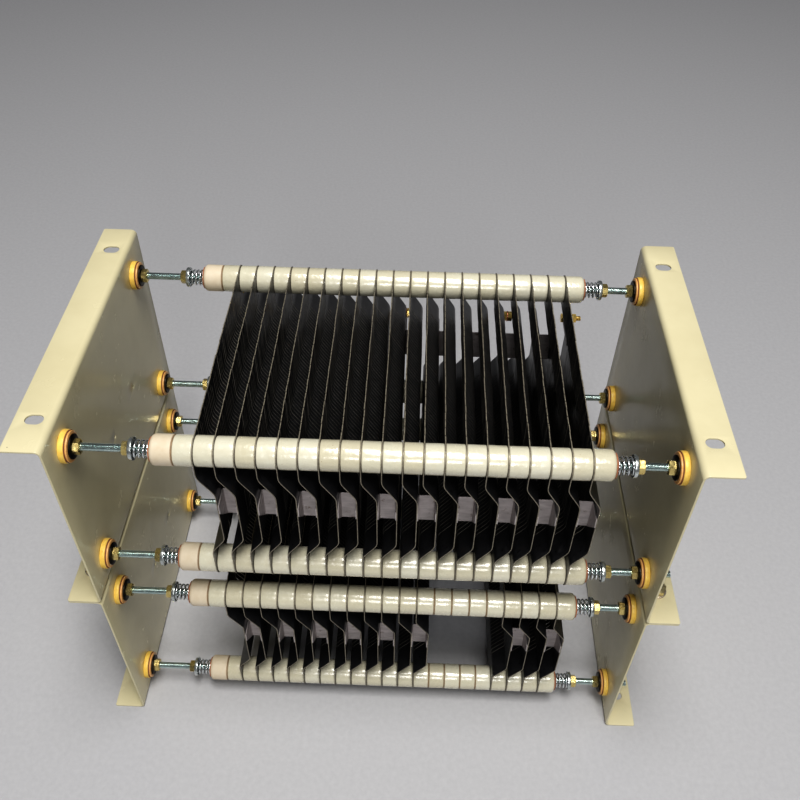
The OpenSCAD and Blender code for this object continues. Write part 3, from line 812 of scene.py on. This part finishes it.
def beads(tier, row, level):
    node = f"{tier}_beads_{row}_{level}"
    draw = random.Random(node)
    boxes = solids(node)
    shape = Shape()
    for i, (low, high) in enumerate(boxes):
        length, radius = high.x - low.x, (high.z - low.z) / 2 - 0.1 * MM
        near = END_BEAD_R if i == 0 else BEAD_EDGE_R
        far = END_BEAD_R if i == len(boxes) - 1 else BEAD_EDGE_R
        loop = bead_section(length, radius - draw.uniform(0, 0.12) * MM, near, far)
        section = leaning(loop, length / 2, draw.uniform(0, 0.011), draw.uniform(0, 2 * math.pi))
        y, z = middle((low, high)).yz
        at = Vector((low.x, y + draw.uniform(-0.08, 0.08) * MM, z + draw.uniform(-0.08, 0.08) * MM))
        turn(
            shape, section, at, bulge=glaze_bulge(radius),
            dirt=seam_dirt(length, radius, near, far), finish=1 if i == 0 else 0, tone=draw.random(),
        )
    make(node, shape, [GLAZE, BISQUE], "bead_glaze", sharp=40)


def mica_separators():
    shape = Shape()
    draw = random.Random("mica")
    for low, high in solids("mica_separators"):
        y, z = middle((low, high)).yz
        section = ring_section(high.x - low.x, (high.y - low.y) / 2, BEAD_BORE_R)
        turn(shape, section, Vector((low.x, y, z)), tone=draw.random())
    make("mica_separators", shape, [MICA], "separator_mica")


# ---- Grid plates ----

def slit_places(half_y):
    span = 2 * (half_y - 2 * CORNER_R)
    return [span * (k / (SLITS - 1) - 0.5) for k in range(SLITS)]


def joggle_bends():
    """Heights of a plate's four bends above the middle between its rods, and where each one leaves it."""
    return (
        (-ROD_Z + LOWER_STRAIGHT, 0), (-ROD_Z + LOWER_STRAIGHT + LOWER_SLOPE, JOGGLE),
        (ROD_Z - UPPER_STRAIGHT - UPPER_SLOPE, JOGGLE), (ROD_Z - UPPER_STRAIGHT, 0),
    )


def joggle_at(v, soft):
    """Sideways step of a plate at height v, and its slope, with bends that start soft above and below."""
    bends = joggle_bends()
    for i, (level, out) in enumerate(bends):
        if abs(v - level) < soft:
            lower = (out - bends[i - 1][1]) / (level - bends[i - 1][0]) if i else 0.0
            upper = (bends[i + 1][1] - out) / (bends[i + 1][0] - level) if i < 3 else 0.0
            turned = (upper - lower) * (v - level + soft) / (2 * soft)
            return out + lower * (v - level) + turned * (v - level + soft) / 2, lower + turned
    for (low, out), (high, on) in zip(bends, bends[1:]):
        if low < v < high:
            slope = (on - out) / (high - low)
            return out + slope * (v - low), slope
    return 0.0, 0.0


@functools.cache
def grid_pattern(half_y, half_z, soft):
    """A grid plate seen from the side of its faces: a meander of bars between two clamped borders."""
    w = SLIT_W / 2
    bottom, top = [], []
    for k, u in enumerate(slit_places(half_y)):
        if k % 2:
            end = half_z - SLIT_BRIDGE
            bottom += [(u - w, -half_z, 0), (u - w, end, 0), (u + w, end, 0), (u + w, -half_z, 0)]
        else:
            end = -half_z + SLIT_BRIDGE
            top += [(u - w, half_z, 0), (u - w, end, 0), (u + w, end, 0), (u + w, half_z, 0)]
    corners = [(-half_y, -half_z, CORNER_R), *bottom, (half_y, -half_z, CORNER_R)]
    corners += [(half_y, half_z, CORNER_R), *reversed(top), (-half_y, half_z, CORNER_R)]
    holes = [circle(u, v, EYELET_R, 24) for u in (-ROD_Y, ROD_Y) for v in (-ROD_Z, ROD_Z)]
    levels = [level + soft * part for level, _ in joggle_bends() for part in (-1, -0.5, 0, 0.5, 1)]
    levels += [half_z * part for part in (-0.85, -0.7, -0.1, 0.1, 0.85)]
    lines = [((-half_y - CORNER_R, v), (half_y + CORNER_R, v)) for v in sorted(levels)]
    return pattern(rounded(corners, 8), holes, lines)


def grid_plate(shape, x, centre_z, half_y, half_z, soft, draw):
    """One plate. Its loops spring a little to either side, as stamped grids do."""
    loops = (SLITS + 1) // 2
    seed = draw.uniform(0, 100)
    upper, lower = (
        [
            draw.uniform(-0.22, 0.22) * MM + noise.noise(Vector((k / 5, seed, end))) * 0.5 * MM
            for k in range(loops + 1)
        ]
        for end in (0, 1)
    )
    upper[0] = upper[-1] = lower[0] = lower[-2] = 0.0
    slits = slit_places(half_y)
    gap = slits[1] - slits[0]

    def surface(u, v):
        bar = min(max(math.floor((u - slits[0]) / gap) + 1, 0), SLITS)
        share = (v + half_z) / (2 * half_z)
        sprung = upper[(bar + 1) // 2] * share + lower[bar // 2] * (1 - share)
        out, slope = joggle_at(v, soft)
        normal = Vector((1, 0, -slope)).normalized()
        return Vector((x + out + sprung, u, centre_z + v)), normal

    def edge(u, v):
        return 1 if abs(u) > half_y - CORNER_R or abs(v) > half_z - 0.4 * MM else 2

    flat = grid_pattern(half_y, half_z, soft)
    bent_sheet(shape, flat, surface, GRID_T * 0.98, edge=edge, tone=draw.random())


def grid_pair(tier, node):
    low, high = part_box(node)
    half_y, half_z = round((high.y - low.y) / 2, 5), round((high.z - low.z) / 2, 5)
    draw = random.Random(node)
    shape = Shape()
    for x in (low.x + GRID_T / 2, low.x + GRID_T / 2 + GRID_PITCH):
        grid_plate(shape, x, (low.z + high.z) / 2, half_y, half_z, BEND_SOFT[tier], draw)
    make(node, shape, [OXIDE, CUT, SLIT_EDGE], "grid_black", sharp=35)


# ---- Jumpers and terminals ----

def jumpers(tier, row):
    node = f"{tier}_{row}_jumpers"
    shape = Shape()
    draw = random.Random(node)
    strip_t = 1 * MM
    bend = 1.6 * MM
    for low, high in solids(node):
        left, right = low.x + strip_t / 2, high.x - strip_t / 2
        web, edge = (high.y - strip_t / 2, low.y) if row == "front" else (low.y + strip_t / 2, high.y)
        path = rounded([(left, edge, 0), (left, web, bend), (right, web, bend), (right, edge, 0)], 5)

        def rise(point):
            return JUMPER_RISE * max(0.0, abs(point.y - web) - bend) / abs(edge - web)

        strip(shape, path, strip_t, low.z, high.z, rise, tone=draw.random())
    make(node, shape, [STRIP], "jumper_strip", sharp=40)


def terminal_lugs():
    shape = Shape()
    for low, high in solids("terminal_lugs"):
        radius = (high.z - low.z) / 2
        bolt_y, bolt_z = high.y - radius, (low.z + high.z) / 2
        foot = low.y - bolt_y
        outline = [(foot, -radius, 2 * MM), (0, -radius, 0)]
        around = np.linspace(0, math.pi, 17)[1:-1]
        outline += [(radius * math.sin(a), -radius * math.cos(a), 0) for a in around]
        outline += [(0, radius, 0), (foot, radius, 2 * MM)]
        flat = pattern(rounded(outline), [circle(0, 0, 3.2 * MM, 24)])
        x = (low.x + high.x) / 2

        def surface(u, v):
            return Vector((x, bolt_y + u, bolt_z + v)), Vector((1, 0, 0))

        bent_sheet(shape, flat, surface, high.x - low.x)
    make("terminal_lugs", shape, [LUG], "lug_strip", edge_bevel=0.2 * MM)


def terminal_bolts():
    shape = Shape()
    draw = random.Random("terminal bolts")
    head = 4 * MM
    for low, high in solids("terminal_bolts"):
        y, z = middle((low, high)).yz
        phase = nut_phase(draw)
        tone = draw.random()
        at = Vector((low.x + head, y, z))
        section = head_section(head, TERMINAL_FLATS, phase)
        turn(shape, section, at, way=-1, steps=60, ring=False, tone=tone)
        length = high.x - low.x - head + TERMINAL_PITCH
        thread(shape, Vector((high.x, y, z)), length, TERMINAL_R, TERMINAL_PITCH, way=-1, tone=tone)
    make("terminal_bolts", shape, [BRASS], "terminal_brass")


# ---- Nuts, washers and springs ----

def ways_out(node, from_stack=True):
    """Each solid of a node as (axis point where it starts, length, radius, direction).
    from_stack says that it points away from the beads; otherwise it points away from the end plate."""
    for low, high in solids(node):
        side = 1 if low.x + high.x > 0 else -1
        beyond = abs(low.x + high.x) / 2 > sheet_middle
        way = side if from_stack or beyond else -side
        y, z = middle((low, high)).yz
        start = Vector((low.x if way > 0 else high.x, y, z))
        yield start, high.x - low.x, (high.z - low.z) / 2, way


def rod_nuts(node, from_stack):
    """Hexagon nuts on the rods, each tightened to a different angle."""
    shape = Shape()
    draw = random.Random(node)
    for start, length, _, way in ways_out(node, from_stack):
        section = nut_section(length, ROD_NUT_FLATS, ROD_R, nut_phase(draw))
        turn(shape, section, start, way, steps=60, tone=draw.random())
    make(node, shape, [YELLOW_ZINC], "nut_zinc_yellow")


def rings(node, material, slot, edge, from_stack):
    """Plain rings on the rods: gaskets, caps and washers."""
    shape = Shape()
    draw = random.Random(node)
    for start, length, radius, way in ways_out(node, from_stack):
        turn(shape, ring_section(length, radius, ROD_HOLE_R, edge), start, way, tone=draw.random())
    make(node, shape, [material], slot)


def bushes():
    """Flanged bushes, each with a short spigot in the end plate's hole."""
    shape = Shape()
    draw = random.Random("bushes")
    spigot = 0.9 * MM
    bore = ROD_HOLE_R
    for start, length, radius, way in ways_out("bushes", from_stack=False):
        loop = rounded([
            (0, bore, 0), (0, BUSH_HOLE_R - 0.2 * MM, 0), (spigot, BUSH_HOLE_R - 0.2 * MM, 0),
            (spigot, radius, 0.5 * MM), (length, radius, 1.1 * MM), (length, bore, 0.3 * MM),
        ])
        turn(shape, lambda angle, loop=loop: loop, start, way, steps=64, tone=draw.random())
    make("bushes", shape, [AMBER], "bush_yellow")


def spring_seats():
    shape = Shape()
    draw = random.Random("seats")
    bore, rim, floor_t = ROD_HOLE_R, 1.5 * MM, 1.5 * MM
    for start, length, radius, way in ways_out("spring_seats"):
        deep = length - floor_t
        loop = rounded([
            (length, bore, 0), (deep, bore, 0), (deep, radius - rim, 0.5 * MM), (0, radius - rim, 0.4 * MM),
            (0, radius, 0.4 * MM), (length, radius, 1.2 * MM),
        ])
        turn(shape, lambda angle, loop=loop: loop, start, way, tone=draw.random())
    make("spring_seats", shape, [SEAT_ZINC], "seat_zinc")


def springs():
    shape = Shape()
    draw = random.Random("springs")
    wire, turns = 2 * MM, 4.5
    for start, length, radius, way in ways_out("springs"):
        phase = draw.uniform(0, 2 * math.pi)
        coil(shape, start, length, radius, wire, turns, start=phase, way=way, tone=draw.random())
    make("springs", shape, [SPRING_ZINC], "spring_zinc", sharp=60)


def terminal_fasteners():
    washers, nuts = Shape(), Shape()
    draw = random.Random("terminal nuts")
    for low, high in solids("terminal_washers"):
        y, z = middle((low, high)).yz
        section = ring_section(high.x - low.x, (high.y - low.y) / 2, TERMINAL_R, 0.25 * MM)
        turn(washers, section, Vector((low.x, y, z)), steps=40, tone=draw.random())
    for low, high in solids("terminal_nuts"):
        y, z = middle((low, high)).yz
        section = nut_section(high.x - low.x, TERMINAL_FLATS, TERMINAL_R, nut_phase(draw))
        turn(nuts, section, Vector((low.x, y, z)), steps=60, tone=draw.random())
    make("terminal_washers", washers, [COPPER], "washer_copper")
    make("terminal_nuts", nuts, [BRASS], "terminal_brass")


def tier_fasteners():
    """M10 bolts, washers and nuts through the slots between the tiers."""
    bolts, washers, nuts = Shape(), Shape(), Shape()
    draw = random.Random("tier bolts")
    head = 6.4 * MM
    for low, high in solids("tier_bolts"):
        x, y = middle((low, high)).xy
        phase = nut_phase(draw)
        tone = draw.random()
        at = Vector((x, y, high.z - head))
        section = head_section(head, TIER_BOLT_FLATS, phase)
        turn(bolts, section, at, axis="z", steps=60, ring=False, tone=tone)
        length = high.z - low.z - head + TIER_BOLT_PITCH
        at = Vector((x, y, low.z))
        thread(bolts, at, length, TIER_BOLT_R, TIER_BOLT_PITCH, axis="z", tone=tone)
    for low, high in solids("tier_washers"):
        x, y = middle((low, high)).xy
        section = ring_section(high.z - low.z, (high.y - low.y) / 2, TIER_BOLT_R + 0.3 * MM, 0.3 * MM)
        turn(washers, section, Vector((x, y, low.z)), axis="z", tone=draw.random())
    for low, high in solids("tier_nuts"):
        x, y = middle((low, high)).xy
        section = nut_section(high.z - low.z, TIER_BOLT_FLATS, TIER_BOLT_R, nut_phase(draw))
        turn(nuts, section, Vector((x, y, low.z)), axis="z", steps=60, tone=draw.random())
    make("tier_bolts", bolts, [BOLT_ZINC], "bolt_zinc")
    make("tier_washers", washers, [WASHER_ZINC], "washer_zinc")
    make("tier_nuts", nuts, [BOLT_ZINC], "bolt_zinc")


# ---- Stage ----

def floor():
    size = 12  # metres, half of its width
    mesh = bpy.data.meshes.new("floor")
    corners = ((-size, -size, 0), (size, -size, 0), (size, size, 0), (-size, size, 0))
    mesh.from_pydata(corners, [], [(0, 1, 2, 3)])
    mesh.materials.append(floor_surface())
    plane = bpy.data.objects.new("floor", mesh)
    bpy.context.scene.collection.objects.link(plane)


def area_light(name, place, target, size, power, colour=(1, 1, 1)):
    lamp = bpy.data.lights.new(name, "AREA")
    lamp.shape = "RECTANGLE"
    lamp.size, lamp.size_y = size
    lamp.energy = power
    lamp.color = colour
    light = bpy.data.objects.new(name, lamp)
    light.location = place
    light.rotation_euler = (Vector(target) - Vector(place)).to_track_quat("-Z", "Y").to_euler()
    bpy.context.scene.collection.objects.link(light)


def lights():
    world = bpy.data.worlds.new("studio")
    world.use_nodes = True
    sky = world.node_tree.nodes["Background"]
    sky.inputs["Color"].default_value = (0.86, 0.90, 1.0, 1)
    sky.inputs["Strength"].default_value = 0.05
    bpy.context.scene.world = world
    area_light("overhead", (0.25, -0.8, 4.2), (0, 0, 0.3), (1.0, 2.4), 122, (1, 0.985, 0.95))
    area_light("front_fill", (0.1, -2.2, 1.7), (0, 0, 0.2), (0.6, 0.7), 13)
    bpy.context.scene.view_settings.view_transform = "Standard"
    bpy.context.scene.view_settings.look = "High Contrast"


def camera():
    lens = bpy.data.cameras.new("camera")
    lens.lens = 39.55
    lens.sensor_width = 36
    view = bpy.data.objects.new("camera", lens)
    view.location = (0.0344, -0.6575, 1.0437)
    view.rotation_euler = [math.radians(a) for a in (44.95, -0.81, 1.99)]
    bpy.context.scene.collection.objects.link(view)
    bpy.context.scene.camera = view


# ---- The whole bank ----

camera()
for tier in TIERS:
    for side in SIDES:
        end_plate(tier, side)
    for row in ROWS:
        jumpers(tier, row)
        for level in LEVELS:
            rod(tier, row, level)
            beads(tier, row, level)
    for node in sorted(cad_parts):
        if node.startswith(f"{tier}_grid_"):
            grid_pair(tier, node)
insulating_tubes()
mica_separators()
bushes()
rings("bush_gaskets", GASKET, "gasket_fibre", 0.1 * MM, from_stack=False)
rings("bush_caps", CAP, "cap_amber", 0.6 * MM, from_stack=False)
rings("bush_washers", BLACKENED, "washer_black", 0.3 * MM, from_stack=False)
rod_nuts("frame_nuts", from_stack=False)
rod_nuts("stack_nuts", from_stack=True)
spring_seats()
springs()
rings("fibre_washers", FIBRE, "washer_fibre", 0.2 * MM, from_stack=True)
terminal_lugs()
terminal_bolts()
terminal_fasteners()
tier_fasteners()
floor()
lights()
